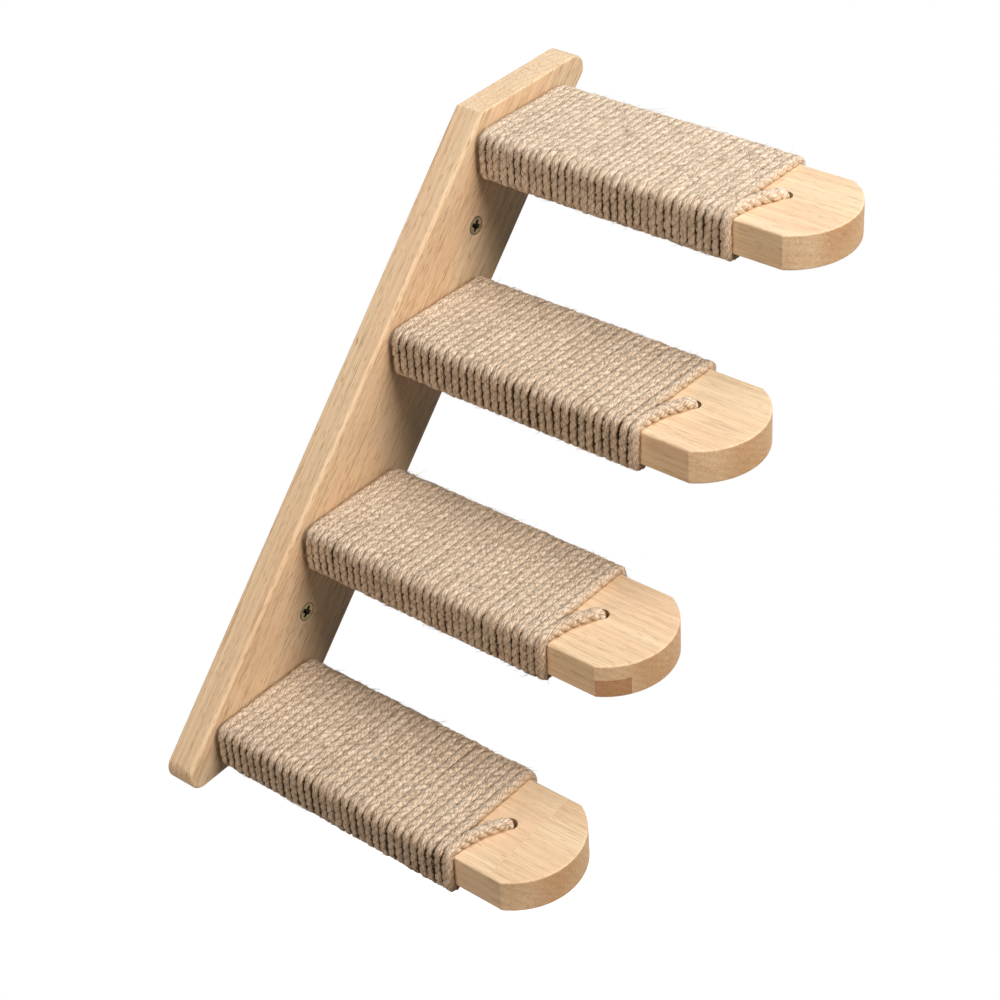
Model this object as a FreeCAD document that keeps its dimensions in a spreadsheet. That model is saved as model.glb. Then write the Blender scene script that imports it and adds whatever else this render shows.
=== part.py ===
import FreeCAD, Part
import math
import os
import Sketcher

# A wall ladder for a cat: a slanted backboard carries four planks, each wound with rope up to its bare tip.
# Frame: X along the wall, Z up, the wall is the plane Y = 0 and the ladder stands out of it towards -Y.
# The origin is the middle of the board's back face. Steps are numbered from the top.

# Driving dimensions in millimetres, slopes in degrees, shares without a unit
SIZES = (
    ("boardEdgeLength", 360.0, "long edge of the board, from corner to corner before the noses are rounded"),
    ("boardWidth", 64.0, "width of the board, square to its long edge"),
    ("boardThickness", 16.0, "thickness of the board"),
    ("boardSlope", 45.0, "slope of the board's long edge from level"),
    ("boardNoseRadius", 8.0, "rounding of the two sharp corners of the board"),
    ("boardRoundover", 2.0, "rounding of the two long edges of the board's front"),
    ("boardEasing", 1.0, "easing of the other edges of the board"),
    ("cutOverrun", 5.0, "how far a cutting outline runs past what it cuts"),
    ("stepPitch", 102.5, "distance from step to step, along the board"),
    ("stepDrop", 2.0, "how far the middle of the steps lies below the middle of the board"),
    ("stepReach", 189.0, "length of a plank, from the board's front face to its tip"),
    ("plankWidth", 59.0, "width of a plank"),
    ("plankThickness", 18.0, "thickness of a plank"),
    ("plankRounding", 1.0, "rounding of a plank's edges"),
    ("tipDepth", 17.7, "from a plank's tip back to the corners where its rounding begins"),
    ("wrapLength", 145.5, "length of a plank that is wound, from the board's front face"),
    ("ropeDiameter", 4.0, "thickness of the rope"),
    ("ropeClearance", 0.3, "room between the rope and the wood"),
    ("ropeLoopGap", 2.0, "room between two loops of rope"),
    ("ropeTuck", 5.0, "straight length of the rope's end inside its hole"),
    ("ropeHoleDiameter", 7.5, "hole for the rope's end, in the top of a plank"),
    ("ropeHoleBeyond", 7.0, "from the end of the winding to the middle of that hole"),
    ("ropeHoleSide", 1.0, "from the middle of the plank to that hole, to the right"),
    ("ropeTailSweep", 20.0, "radius of the bend with which the rope's end leaves the winding"),
    ("ropeStartShare", 0.25, "where the rope begins under the plank, as a share of the plank's width"),
    ("wallScrewLength", 40.0, "length of a wall screw"),
    ("wallScrewDiameter", 5.0, "thread of a wall screw"),
    ("wallHeadDiameter", 9.6, "head of a wall screw"),
    ("wallHeadSink", 0.4, "depth of a wall screw's head below the board's front face"),
    ("stepScrewLength", 45.0, "length of a screw that holds a plank"),
    ("stepScrewDiameter", 4.0, "thread of a screw that holds a plank"),
    ("stepHeadDiameter", 8.0, "head of a screw that holds a plank"),
    ("stepHeadSink", 0.4, "depth of such a screw's head below the board's back face"),
    ("stepScrewSpacing", 30.0, "distance between the two screws of a plank"),
    ("headRim", 0.3, "height of the straight rim of a screw's head"),
    ("headCone", 90.0, "full angle of a countersunk head"),
    ("screwClearance", 0.1, "room round a screw in its hole"),
    ("matchShare", 0.001, "distance at which two places count as one, as a share of a thickness"),
    ("screwPointShare", 1.5, "length of a screw's point, as a share of its thread's diameter"),
    ("screwNeckShare", 0.72, "smooth neck of a screw inside the board, as a share of its thread's diameter"),
    ("recessSpanShare", 0.55, "span of the cross recess, as a share of the head"),
    ("recessWidthShare", 0.13, "width of a slot of the cross recess, as a share of the head"),
    ("recessDepthShare", 0.22, "depth of the cross recess, as a share of the head"),
)
STEP_COUNT = 4

doc = FreeCAD.newDocument("cat_wall_ladder")
sheet = doc.addObject("Spreadsheet::Sheet", "Sizes")
for row, (alias, value, meaning) in enumerate(SIZES, start=1):
    sheet.set("A%d" % row, meaning)
    sheet.set("B%d" % row, str(value))
    sheet.setAlias("B%d" % row, alias)
doc.recompute()

HALF_EDGE_X = "(Sizes.boardEdgeLength / 2 * cos(Sizes.boardSlope * 1 deg))"
HALF_EDGE_Z = "(Sizes.boardEdgeLength / 2 * sin(Sizes.boardSlope * 1 deg))"
HALF_LEVEL_WIDTH = "(Sizes.boardWidth / 2 / sin(Sizes.boardSlope * 1 deg))"
TIP_RADIUS = "((Sizes.plankWidth ^ 2 / 4 + Sizes.tipDepth ^ 2) / (2 * Sizes.tipDepth))"


def size(alias):
    return float(sheet.get(alias))


def along_board(pitches):
    """Expressions for the X and Z of a point on the middle line of the steps, counted in step pitches."""
    x = "(%g * Sizes.stepPitch * cos(Sizes.boardSlope * 1 deg))" % pitches
    z = "(%g * Sizes.stepPitch * sin(Sizes.boardSlope * 1 deg) - Sizes.stepDrop)" % pitches
    return x, z


def step_pitches(step):
    """Place of a step on the middle line of the steps, which lie evenly about its middle."""
    return (STEP_COUNT + 1) / 2 - step


def new_body(label):
    body = doc.addObject("PartDesign::Body", label)
    body.Label = label
    return body


def new_sketch(body, name, role, lift=None):
    """A sketch on one of the body's own planes, lifted off it by an expression where one is given."""
    sketch = body.newObject("Sketcher::SketchObject", name)
    plane = [feature for feature in body.Origin.OriginFeatures if feature.Role == role][0]
    sketch.AttachmentSupport = [(plane, "")]
    sketch.MapMode = "FlatFace"
    if lift:
        sketch.setExpression(".AttachmentOffset.Base.z", lift)
    return sketch


def hold_point(sketch, index, end, x, z):
    """Ties a point of a sketch to its place, given as two expressions."""
    for kind, place in (("DistanceX", x), ("DistanceY", z)):
        constraint = sketch.addConstraint(Sketcher.Constraint(kind, -1, 1, index, end, 1.0))
        sketch.setExpression("Constraints[%d]" % constraint, place)


def draw_outline(sketch, corners):
    """A closed outline of straight lines through corners that are given as expressions."""
    count = len(corners)
    turns = [2 * math.pi * number / count for number in range(count + 1)]
    unit = [FreeCAD.Vector(math.cos(turn), math.sin(turn), 0) for turn in turns]
    for number in range(count):
        sketch.addGeometry(Part.LineSegment(unit[number], unit[number + 1]), False)
    for number in range(count):
        sketch.addConstraint(Sketcher.Constraint("Coincident", number, 2, (number + 1) % count, 1))
    for number, (x, z) in enumerate(corners):
        hold_point(sketch, number, 1, x, z)


def draw_circles(sketch, diameter, places):
    for x, z in places:
        circle = Part.Circle(FreeCAD.Vector(0, 0, 0), FreeCAD.Vector(0, 0, 1), 1.0)
        index = sketch.addGeometry(circle, False)
        constraint = sketch.addConstraint(Sketcher.Constraint("Diameter", index, 2.0))
        sketch.setExpression("Constraints[%d]" % constraint, diameter)
        hold_point(sketch, index, 3, x, z)


def check_cut(feature):
    """Recomputes and makes sure that a cutting feature has taken material away."""
    before = feature.BaseFeature.Shape.Volume
    doc.recompute()
    if not feature.Shape.Volume < before:
        raise RuntimeError("%s cuts nothing" % feature.Label)


def screw_hole(body, sketch, kind, sink, reverse):
    """Clearance holes with a countersink that takes the head below the face."""
    hole = body.newObject("PartDesign::Hole", sketch.Label + "_bore")
    hole.Profile = sketch
    hole.Threaded = False
    hole.DepthType = "ThroughAll"
    hole.Reversed = reverse
    hole.setExpression("Diameter", "Sizes.%sScrewDiameter + 2 * Sizes.screwClearance" % kind)
    hole.HoleCutType = "Countersink"
    mouth = "Sizes.{0}HeadDiameter + 2 * Sizes.screwClearance + 2 * (Sizes.{1} + Sizes.headRim)"
    mouth += " * tan(Sizes.headCone / 2 * 1 deg)"
    hole.setExpression("HoleCutDiameter", mouth.format(kind, sink))
    hole.setExpression("HoleCutCountersinkAngle", "Sizes.headCone * 1 deg")
    check_cut(hole)


def edges_near(shape, keep):
    return ["Edge%d" % number for number, edge in enumerate(shape.Edges, start=1) if keep(edge)]


def round_edges(body, name, names, radius):
    base = body.Tip
    fillet = body.newObject("PartDesign::Fillet", name)
    fillet.Base = (base, names)
    fillet.setExpression("Radius", radius)
    doc.recompute()


# Backboard: a slanted board with level ends, its two sharp corners rounded to noses
def make_backboard():
    body = new_body("backboard")
    outline = new_sketch(body, "board_outline", "XZ_Plane")
    draw_outline(outline, (
        ("-%s - %s" % (HALF_EDGE_X, HALF_LEVEL_WIDTH), "-" + HALF_EDGE_Z),
        ("-%s + %s" % (HALF_EDGE_X, HALF_LEVEL_WIDTH), "-" + HALF_EDGE_Z),
        ("%s + %s" % (HALF_EDGE_X, HALF_LEVEL_WIDTH), HALF_EDGE_Z),
        ("%s - %s" % (HALF_EDGE_X, HALF_LEVEL_WIDTH), HALF_EDGE_Z),
    ))
    board = body.newObject("PartDesign::Pad", "board_blank")
    board.Profile = outline
    board.setExpression("Length", "Sizes.boardThickness")
    doc.recompute()

    # The sharp corners are the lower left one and the upper right one, furthest out along the slope
    slope = math.radians(size("boardSlope"))
    uphill = FreeCAD.Vector(math.cos(slope), 0, math.sin(slope))
    outermost = max(abs(vertex.Point.dot(uphill)) for vertex in board.Shape.Vertexes)
    tolerance = size("matchShare") * size("boardThickness")

    def is_nose(edge):
        return all(abs(abs(vertex.Point.dot(uphill)) - outermost) < tolerance for vertex in edge.Vertexes)

    round_edges(body, "board_noses", edges_near(board.Shape, is_nose), "Sizes.boardNoseRadius")

    def is_rim(edge):
        return abs(edge.Vertexes[0].Y - edge.Vertexes[1].Y) < tolerance

    round_edges(body, "board_easing", edges_near(body.Tip.Shape, is_rim), "Sizes.boardEasing")
    round_long_edges(body)

    front = new_sketch(body, "wall_screw_places", "XZ_Plane", "Sizes.boardThickness")
    draw_circles(front, "Sizes.wallScrewDiameter", [along_board(1), along_board(-1)])
    screw_hole(body, front, "wall", "wallHeadSink", False)

    back = new_sketch(body, "step_screw_places", "XZ_Plane")
    places = []
    for step in range(1, STEP_COUNT + 1):
        x, z = along_board(step_pitches(step))
        places += [("%s + %d * Sizes.stepScrewSpacing / 2" % (x, side), z) for side in (-1, 1)]
    draw_circles(back, "Sizes.stepScrewDiameter", places)
    screw_hole(body, back, "step", "stepHeadSink", True)
    return body


def round_long_edges(body):
    """Takes the two long front edges of the board off along a quarter circle, over its whole length."""
    across = new_sketch(body, "board_roundover_outline", "YZ_Plane")
    tilt = FreeCAD.Rotation(FreeCAD.Vector(-1, 0, 0), size("boardSlope"))
    across.AttachmentOffset = FreeCAD.Placement(FreeCAD.Vector(), tilt)
    across.setExpression(".AttachmentOffset.Rotation.Angle", "Sizes.boardSlope * 1 deg")
    radius = size("boardRoundover")
    inner = radius - size("boardThickness")
    outer = -size("boardThickness") - size("cutOverrun")
    inner_name = "Sizes.boardRoundover - Sizes.boardThickness"
    outer_name = "-Sizes.boardThickness - Sizes.cutOverrun"
    for number, side in enumerate((1, -1)):
        low = side * (size("boardWidth") / 2 - radius)
        high = side * (size("boardWidth") / 2 + size("cutOverrun"))
        low_name = "%d * (Sizes.boardWidth / 2 - Sizes.boardRoundover)" % side
        high_name = "%d * (Sizes.boardWidth / 2 + Sizes.cutOverrun)" % side
        quarter = FreeCAD.Vector(math.sqrt(0.5), -side * math.sqrt(0.5), 0) * radius
        centre = FreeCAD.Vector(inner, low, 0)
        front = FreeCAD.Vector(inner - radius, low, 0)
        edge = FreeCAD.Vector(inner, low + side * radius, 0)
        corners = [FreeCAD.Vector(x, y, 0) for x, y in ((inner, high), (outer, high), (outer, low))]
        first = 5 * number
        across.addGeometry(Part.LineSegment(edge, corners[0]), False)
        across.addGeometry(Part.LineSegment(corners[0], corners[1]), False)
        across.addGeometry(Part.LineSegment(corners[1], corners[2]), False)
        across.addGeometry(Part.LineSegment(corners[2], front), False)
        across.addGeometry(Part.Arc(front, centre - quarter, edge), False)
        for line in range(3):
            across.addConstraint(Sketcher.Constraint("Coincident", first + line, 2, first + line + 1, 1))
        start, end = (1, 2) if side < 0 else (2, 1)
        across.addConstraint(Sketcher.Constraint("Coincident", first + 3, 2, first + 4, start))
        across.addConstraint(Sketcher.Constraint("Coincident", first, 1, first + 4, end))
        across.addConstraint(Sketcher.Constraint("Vertical", first))
        across.addConstraint(Sketcher.Constraint("Horizontal", first + 3))
        hold_point(across, first + 1, 1, inner_name, high_name)
        hold_point(across, first + 2, 1, outer_name, high_name)
        hold_point(across, first + 3, 1, outer_name, low_name)
        hold_point(across, first + 4, 3, inner_name, low_name)
        bend = across.addConstraint(Sketcher.Constraint("Radius", first + 4, radius))
        across.setExpression("Constraints[%d]" % bend, "Sizes.boardRoundover")
    roundover = body.newObject("PartDesign::Pocket", "board_roundover")
    roundover.Profile = across
    roundover.SideType = "Symmetric"
    roundover.setExpression("Length", "2 * (Sizes.boardEdgeLength + Sizes.boardWidth)")
    check_cut(roundover)


# Plank: a flat plank with a rounded tip, a hole for the rope's end and two pilot holes in its root
def make_plank(step):
    body = new_body("step_plank_%d" % step)
    outline = new_sketch(body, "plank_outline_%d" % step, "XY_Plane")
    half = size("plankWidth") / 2
    reach = size("stepReach")
    corner = reach - size("tipDepth")
    root_left = FreeCAD.Vector(-half, 0, 0)
    root_right = FreeCAD.Vector(half, 0, 0)
    tip_left = FreeCAD.Vector(-half, -corner, 0)
    tip_right = FreeCAD.Vector(half, -corner, 0)
    tip = Part.Arc(tip_left, FreeCAD.Vector(0, -reach, 0), tip_right)
    outline.addGeometry(Part.LineSegment(root_right, root_left), False)
    outline.addGeometry(Part.LineSegment(root_left, tip_left), False)
    outline.addGeometry(tip, False)
    outline.addGeometry(Part.LineSegment(tip_right, root_right), False)
    outline.addConstraint(Sketcher.Constraint("Coincident", 0, 2, 1, 1))
    outline.addConstraint(Sketcher.Constraint("Coincident", 1, 2, 2, 1))
    outline.addConstraint(Sketcher.Constraint("Coincident", 2, 2, 3, 1))
    outline.addConstraint(Sketcher.Constraint("Coincident", 3, 2, 0, 1))
    outline.addConstraint(Sketcher.Constraint("Vertical", 1))
    outline.addConstraint(Sketcher.Constraint("Vertical", 3))
    hold_point(outline, 0, 1, "Sizes.plankWidth / 2", "0")
    hold_point(outline, 0, 2, "-Sizes.plankWidth / 2", "0")
    hold_point(outline, 2, 3, "0", TIP_RADIUS + " - Sizes.stepReach")
    bend = outline.addConstraint(Sketcher.Constraint("Radius", 2, half))
    outline.setExpression("Constraints[%d]" % bend, TIP_RADIUS)

    plank = body.newObject("PartDesign::Pad", "plank_blank_%d" % step)
    plank.Profile = outline
    plank.SideType = "Symmetric"
    plank.setExpression("Length", "Sizes.plankThickness")
    doc.recompute()

    # The edges of the top and the underside are rounded, all but those that meet the board
    tolerance = size("matchShare") * size("plankThickness")

    def is_rim(edge):
        level = abs(edge.Vertexes[0].Z - edge.Vertexes[1].Z) < tolerance
        return level and any(abs(vertex.Y) > tolerance for vertex in edge.Vertexes)

    round_edges(body, "plank_edges_%d" % step, edges_near(plank.Shape, is_rim), "Sizes.plankRounding")

    mouth = new_sketch(body, "rope_hole_place_%d" % step, "XY_Plane", "Sizes.plankThickness / 2")
    draw_circles(mouth, "Sizes.ropeHoleDiameter",
                 [("Sizes.ropeHoleSide", "-Sizes.wrapLength - Sizes.ropeHoleBeyond")])
    hole = body.newObject("PartDesign::Pocket", "rope_hole_%d" % step)
    hole.Profile = mouth
    hole.setExpression("Length", "Sizes.plankRounding + Sizes.ropeTuck + Sizes.ropeClearance")
    check_cut(hole)

    pilots = new_sketch(body, "pilot_places_%d" % step, "XZ_Plane")
    draw_circles(pilots, "Sizes.stepScrewDiameter + 2 * Sizes.screwClearance",
                 [("%d * Sizes.stepScrewSpacing / 2" % side, "0") for side in (-1, 1)])
    bores = body.newObject("PartDesign::Pocket", "pilot_holes_%d" % step)
    bores.Profile = pilots
    bores.Reversed = True
    depth = "Sizes.stepScrewLength + Sizes.stepHeadSink - Sizes.boardThickness + Sizes.screwClearance"
    bores.setExpression("Length", depth)
    check_cut(bores)
    seat_on_board(body, step_pitches(step))
    return body


def seat_on_board(piece, pitches):
    """Puts a piece that is drawn from the middle of a plank's root on the front of the board."""
    x, z = along_board(pitches)
    piece.setExpression(".Placement.Base.x", x)
    piece.setExpression(".Placement.Base.y", "-Sizes.boardThickness")
    piece.setExpression(".Placement.Base.z", z)


# Rope: one unbroken tube that winds round a plank and ends in the hole beyond the winding
def bend_edge(start, apex, end):
    """The arc from start to end whose tangents there meet at apex."""
    chord_middle = (start + end) / 2
    half_turn = start.distanceToPoint(end) / 2 / start.distanceToPoint(apex)
    middle = chord_middle + (apex - chord_middle) * (half_turn / (1 + half_turn))
    return Part.Arc(start, middle, end).toShape()


def quarter_turn(start, start_way, end, end_way):
    """Two arcs that lead smoothly round a corner, from one straight run to the next."""
    across = end - start
    ways = start_way + end_way
    spread = 2 * (1 - start_way.dot(end_way))
    slant = across.dot(ways)
    reach = (math.sqrt(slant ** 2 + spread * across.dot(across)) - slant) / spread
    first_apex = start + start_way * reach
    second_apex = end - end_way * reach
    joint = (first_apex + second_apex) / 2
    return [bend_edge(start, first_apex, joint), bend_edge(joint, second_apex, end)]


def rope_route():
    radius = size("ropeDiameter") / 2
    room = size("ropeClearance")
    bend = size("plankRounding") + room + radius
    flat_half = size("plankWidth") / 2 - size("plankRounding")
    side_half = size("plankThickness") / 2 - size("plankRounding")
    corner_length = math.pi / 2 * bend
    loop_length = 4 * flat_half + 4 * side_half + 4 * corner_length

    # As many loops as the wound length holds, climbing evenly from the board to the end of the winding
    first = -(radius + room)
    last = -(size("wrapLength") - radius)
    loops = int((first - last) / (size("ropeDiameter") + size("ropeLoopGap"))) + 1
    start_x = size("ropeStartShare") * size("plankWidth")
    opening = start_x + flat_half
    whole = opening + (loops - 1) * loop_length + 2 * corner_length + 2 * side_half
    climb = (last - first) / whole

    # The four runs of a loop, each with its way and its length
    leftward = FreeCAD.Vector(-1, 0, 0)
    upward = FreeCAD.Vector(0, 0, 1)
    runs = (
        (leftward, 2 * flat_half),
        (upward, 2 * side_half),
        (-leftward, 2 * flat_half),
        (-upward, 2 * side_half),
    )

    def slanted(way):
        return (way + FreeCAD.Vector(0, climb, 0)).normalize()

    height = side_half + bend
    pen = FreeCAD.Vector(start_x, first, -height)
    edges = []
    for number in range(4 * (loops - 1) + 2):
        way, length = runs[number % 4]
        following = runs[(number + 1) % 4][0]
        length = opening if number == 0 else length
        end = pen + way * length + FreeCAD.Vector(0, climb * length, 0)
        edges.append(Part.LineSegment(pen, end).toShape())
        turned = end + (way + following) * bend + FreeCAD.Vector(0, climb * corner_length, 0)
        edges += quarter_turn(end, slanted(way), turned, slanted(following))
        pen = turned

    # The rope's end sweeps out over the bare top, bends down and stands square in its hole
    hole = FreeCAD.Vector(size("ropeHoleSide"), -size("wrapLength") - size("ropeHoleBeyond"), height)
    sweep = size("ropeTailSweep")
    way = slanted(-leftward)
    centre = pen + FreeCAD.Vector(way.y, -way.x, 0) * sweep
    reach = hole - centre
    free_run = math.sqrt(reach.dot(reach) - sweep ** 2)
    turn = math.atan2(reach.y, reach.x) - math.atan2(sweep, free_run)
    out = FreeCAD.Vector(math.cos(turn), math.sin(turn), 0)
    leave = centre + FreeCAD.Vector(-out.y, out.x, 0) * sweep
    halfway = (way + out).normalize()
    edges.append(Part.Arc(pen, centre + FreeCAD.Vector(-halfway.y, halfway.x, 0) * sweep, leave).toShape())

    # The near rim of the hole lies inside the downward bend, with half of the room there left free
    inside = bend - radius
    rim_room = math.sqrt(inside ** 2 - size("plankRounding") ** 2)
    drop = hole - out * (size("ropeHoleDiameter") / 2 - bend + rim_room / 2)
    brink = drop - out * bend
    edges.append(Part.LineSegment(leave, brink).toShape())
    floor = drop - upward * bend
    edges.append(bend_edge(brink, drop, floor))
    edges.append(Part.LineSegment(floor, floor - upward * size("ropeTuck")).toShape())
    return edges, loops, loop_length


def least_gap(edges, loop_length):
    """The least room between two stretches of rope that lie half a loop or more apart."""
    step = size("ropeDiameter")
    points = []
    travelled = 0
    for edge in edges:
        count = max(2, int(edge.Length / step) + 1)
        points += [(travelled + edge.Length * share / count, edge.valueAt(edge.getParameterByLength(
            edge.Length * share / count))) for share in range(count)]
        travelled += edge.Length
    nearest = min(
        point.distanceToPoint(other)
        for place, (along, point) in enumerate(points)
        for further, other in points[place + 1:]
        if loop_length / 2 < further - along < 2 * loop_length
    )
    return nearest - size("ropeDiameter")


def make_rope_shape():
    edges, loops, loop_length = rope_route()
    length = sum(edge.Length for edge in edges)
    start = edges[0].Vertexes[0].Point
    way = edges[0].tangentAt(edges[0].FirstParameter)
    section = Part.Wire(Part.Circle(start, way, size("ropeDiameter") / 2).toShape())
    tube = Part.Wire(edges).makePipeShell([section], True, False)
    expected = math.pi * (size("ropeDiameter") / 2) ** 2 * length
    print("rope: %d loops, %.0f mm long, volume %.4f of section times length, least gap to itself %.2f mm"
          % (loops, length, tube.Volume / expected, least_gap(edges, loop_length)))
    return tube


def make_rope(step, shape):
    rope = doc.addObject("Part::Feature", "step_rope_%d" % step)
    rope.Label = "step_rope_%d" % step
    rope.Shape = shape.copy()
    seat_on_board(rope, step_pitches(step))
    return rope


# Screw: a countersunk wood screw with a cross recess, drawn with its head up at the origin.
# Its neck inside the board is smooth and thinner than the thread beyond the board.
def make_screw(label, kind, x, y, z, turn):
    body = new_body(label)
    head = "Sizes.%sHeadDiameter / 2" % kind
    thread = "Sizes.%sScrewDiameter / 2" % kind
    neck = "Sizes.screwNeckShare * %s" % thread
    length = "Sizes.%sScrewLength" % kind
    under_head = "-Sizes.headRim - (%s - %s) / tan(Sizes.headCone / 2 * 1 deg)" % (head, neck)
    out_of_board = "Sizes.%sHeadSink - Sizes.boardThickness" % kind
    profile = new_sketch(body, label + "_profile", "XZ_Plane")
    draw_outline(profile, (
        ("0", "0"),
        ("0", "-%s" % length),
        (thread, "-%s + Sizes.screwPointShare * 2 * %s" % (length, thread)),
        (thread, out_of_board),
        (neck, out_of_board),
        (neck, under_head),
        (head, "-Sizes.headRim"),
        (head, "0"),
    ))
    turned = body.newObject("PartDesign::Revolution", label + "_blank")
    turned.Profile = profile
    turned.ReferenceAxis = (profile, ["V_Axis"])
    turned.Angle = 360
    doc.recompute()

    span = "Sizes.recessSpanShare * %s" % head
    slot = "Sizes.recessWidthShare * %s" % head
    recess = new_sketch(body, label + "_recess", "XY_Plane")
    corners = []
    for right, up in (("", ""), ("-", ""), ("-", "-"), ("", "-")):
        arm = [(right + span, up + slot), (right + slot, up + slot), (right + slot, up + span)]
        corners += arm if right == up else arm[::-1]
    draw_outline(recess, corners)
    cross = body.newObject("PartDesign::Pocket", label + "_cross")
    cross.Profile = recess
    cross.setExpression("Length", "Sizes.recessDepthShare * 2 * %s" % head)
    check_cut(cross)
    body.Placement = FreeCAD.Placement(FreeCAD.Vector(), FreeCAD.Rotation(FreeCAD.Vector(1, 0, 0), turn))
    body.setExpression(".Placement.Base.x", x)
    body.setExpression(".Placement.Base.y", y)
    body.setExpression(".Placement.Base.z", z)
    return body


# Build every piece
pieces = [make_backboard()]
rope_shape = make_rope_shape()
for step in range(1, STEP_COUNT + 1):
    pieces.append(make_plank(step))
    pieces.append(make_rope(step, rope_shape))
    x, z = along_board(step_pitches(step))
    for side, sign in (("left", -1), ("right", 1)):
        across = "%s + %d * Sizes.stepScrewSpacing / 2" % (x, sign)
        label = "step_screw_%d_%s" % (step, side)
        pieces.append(make_screw(label, "step", across, "-Sizes.stepHeadSink", z, -90))
for place, pitches in (("upper", 1), ("lower", -1)):
    x, z = along_board(pitches)
    front = "-Sizes.boardThickness + Sizes.wallHeadSink"
    pieces.append(make_screw("wall_screw_%s" % place, "wall", x, front, z, 90))
doc.recompute()

# Test every object and write every piece
for item in doc.Objects:
    if "Invalid" in item.State or "Error" in item.State:
        raise RuntimeError("%s failed: %s" % (item.Label, item.State))
for piece in pieces:
    if piece.Shape.isNull() or not piece.Shape.isValid():
        raise RuntimeError("%s has no valid shape" % piece.Label)
os.makedirs("parts", exist_ok=True)
for piece in pieces:
    piece.Shape.exportStep("parts/%s.step" % piece.Label)
    print("%s: %d solid, %.0f mm3" % (piece.Label, len(piece.Shape.Solids), piece.Shape.Volume))
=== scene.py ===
import bpy
import math
import numpy as np
from mathutils import Matrix, Vector


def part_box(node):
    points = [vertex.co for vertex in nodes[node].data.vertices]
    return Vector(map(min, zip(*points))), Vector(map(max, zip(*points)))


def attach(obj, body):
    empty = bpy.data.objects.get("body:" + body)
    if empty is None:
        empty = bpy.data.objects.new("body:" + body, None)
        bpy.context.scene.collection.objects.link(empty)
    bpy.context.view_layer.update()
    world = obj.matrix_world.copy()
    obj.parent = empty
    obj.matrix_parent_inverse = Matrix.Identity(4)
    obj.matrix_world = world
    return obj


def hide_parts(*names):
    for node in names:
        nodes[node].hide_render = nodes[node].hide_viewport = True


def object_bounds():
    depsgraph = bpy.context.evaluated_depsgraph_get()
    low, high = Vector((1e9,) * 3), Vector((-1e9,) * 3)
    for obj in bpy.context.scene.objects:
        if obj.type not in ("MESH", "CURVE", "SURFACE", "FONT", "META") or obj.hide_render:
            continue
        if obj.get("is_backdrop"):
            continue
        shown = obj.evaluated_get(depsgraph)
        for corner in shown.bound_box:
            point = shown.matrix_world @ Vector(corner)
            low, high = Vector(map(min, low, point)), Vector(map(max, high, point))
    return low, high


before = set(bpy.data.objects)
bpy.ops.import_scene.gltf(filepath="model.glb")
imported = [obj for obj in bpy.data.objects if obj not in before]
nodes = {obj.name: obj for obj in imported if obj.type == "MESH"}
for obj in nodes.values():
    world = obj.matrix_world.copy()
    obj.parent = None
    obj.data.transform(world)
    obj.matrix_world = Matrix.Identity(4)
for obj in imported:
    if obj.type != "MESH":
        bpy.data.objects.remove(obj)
cad_low, cad_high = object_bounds()

# Sizes in metres
MM = 0.001
STEPS = (1, 2, 3, 4)

# Rope: turns and tone on each step, then the winding
ROPE_SEED = 40
ROPE_TURNS = (33, 31, 33, 31)
ROPE_TONES = (-0.45, 0.4, 0.5, 0.6)
ROPE_RADIUS = 2.28 * MM
ROPE_STAND = 2.1 * MM
ROPE_LAY = 15.0 * MM
ROPE_RING_STEP = 1.15 * MM
ROPE_START_X = 15.0 * MM
ROPE_FROM_BOARD = 0.2 * MM
WRAP_LENGTH = 145.5 * MM
LAST_TURN = 167.0 * MM
CORNER_REACH = 10.0 * MM
TURN_WANDER = 0.15 * MM
TURN_LIFT = 0.06 * MM
SQUARE_ON_FACES = 7.0
SQUARE_ON_SIDES = 4.5
# Strength of the painted shade in the gaps between turns, on the plank's faces and on its narrow sides
GAP_SHADE_ON_FACES = 0.45
GAP_SHADE_ON_SIDES = 2.5

# Strands: each drift is a span in metres and how much a value changes over it
STRANDS = 3
POINTS_PER_STRAND = 6
STRAND_GROOVE = 0.13
STRAND_ROUNDNESS = 0.6
STRAND_DRIFT = (0.009, 0.035)
TWIST_DRIFT = (0.05, 0.5)
THICKNESS_DRIFT = (0.012, 0.03)
TONE_DRIFT = (0.045, 0.2)

# Free end: its route is in millimetres from a place at the rope's height over its hole
HOLE_X = 1.0 * MM
HOLE_FROM_WINDING = 7.0 * MM
TAIL_LENGTH = 42.0 * MM
TAIL_START = 0.5 * MM
TAIL_GROOVE = 0.3
TAIL_SWELL = 0.38
# How much of the painted gap shade the free end loses
TAIL_SHADE_CUT = 0.8
TAIL_ROUTE = ((-13.0, 6.2, 0.1), (-7.0, 2.6, 0.1), (-1.4, 0.3, -0.1), (-1.1, 0.2, -4.0), (-1.0, 0.2, -8.2))

# Stray fibres: lengths and arches in millimetres, slants in radians
FUZZ_PER_STEP = 1600
FUZZ_THICKNESS = 0.1 * MM
FUZZ_TAPER = (0.8, 1.0, 0.9, 0.7, 0.35)
FUZZ_SIDES = 3
FUZZ_FROM_ENDS = 40
FUZZ_SLANT = 1.2
FUZZ_LENGTHS = (2.0, 7.0)
FUZZ_RISE = 0.09
FUZZ_ARCH = 0.4
FUZZ_CURL = 0.5
FUZZ_SEAT = 0.92
FUZZ_TONE = 0.5
FUZZ_MAP_SHIFT = 0.1

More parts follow.
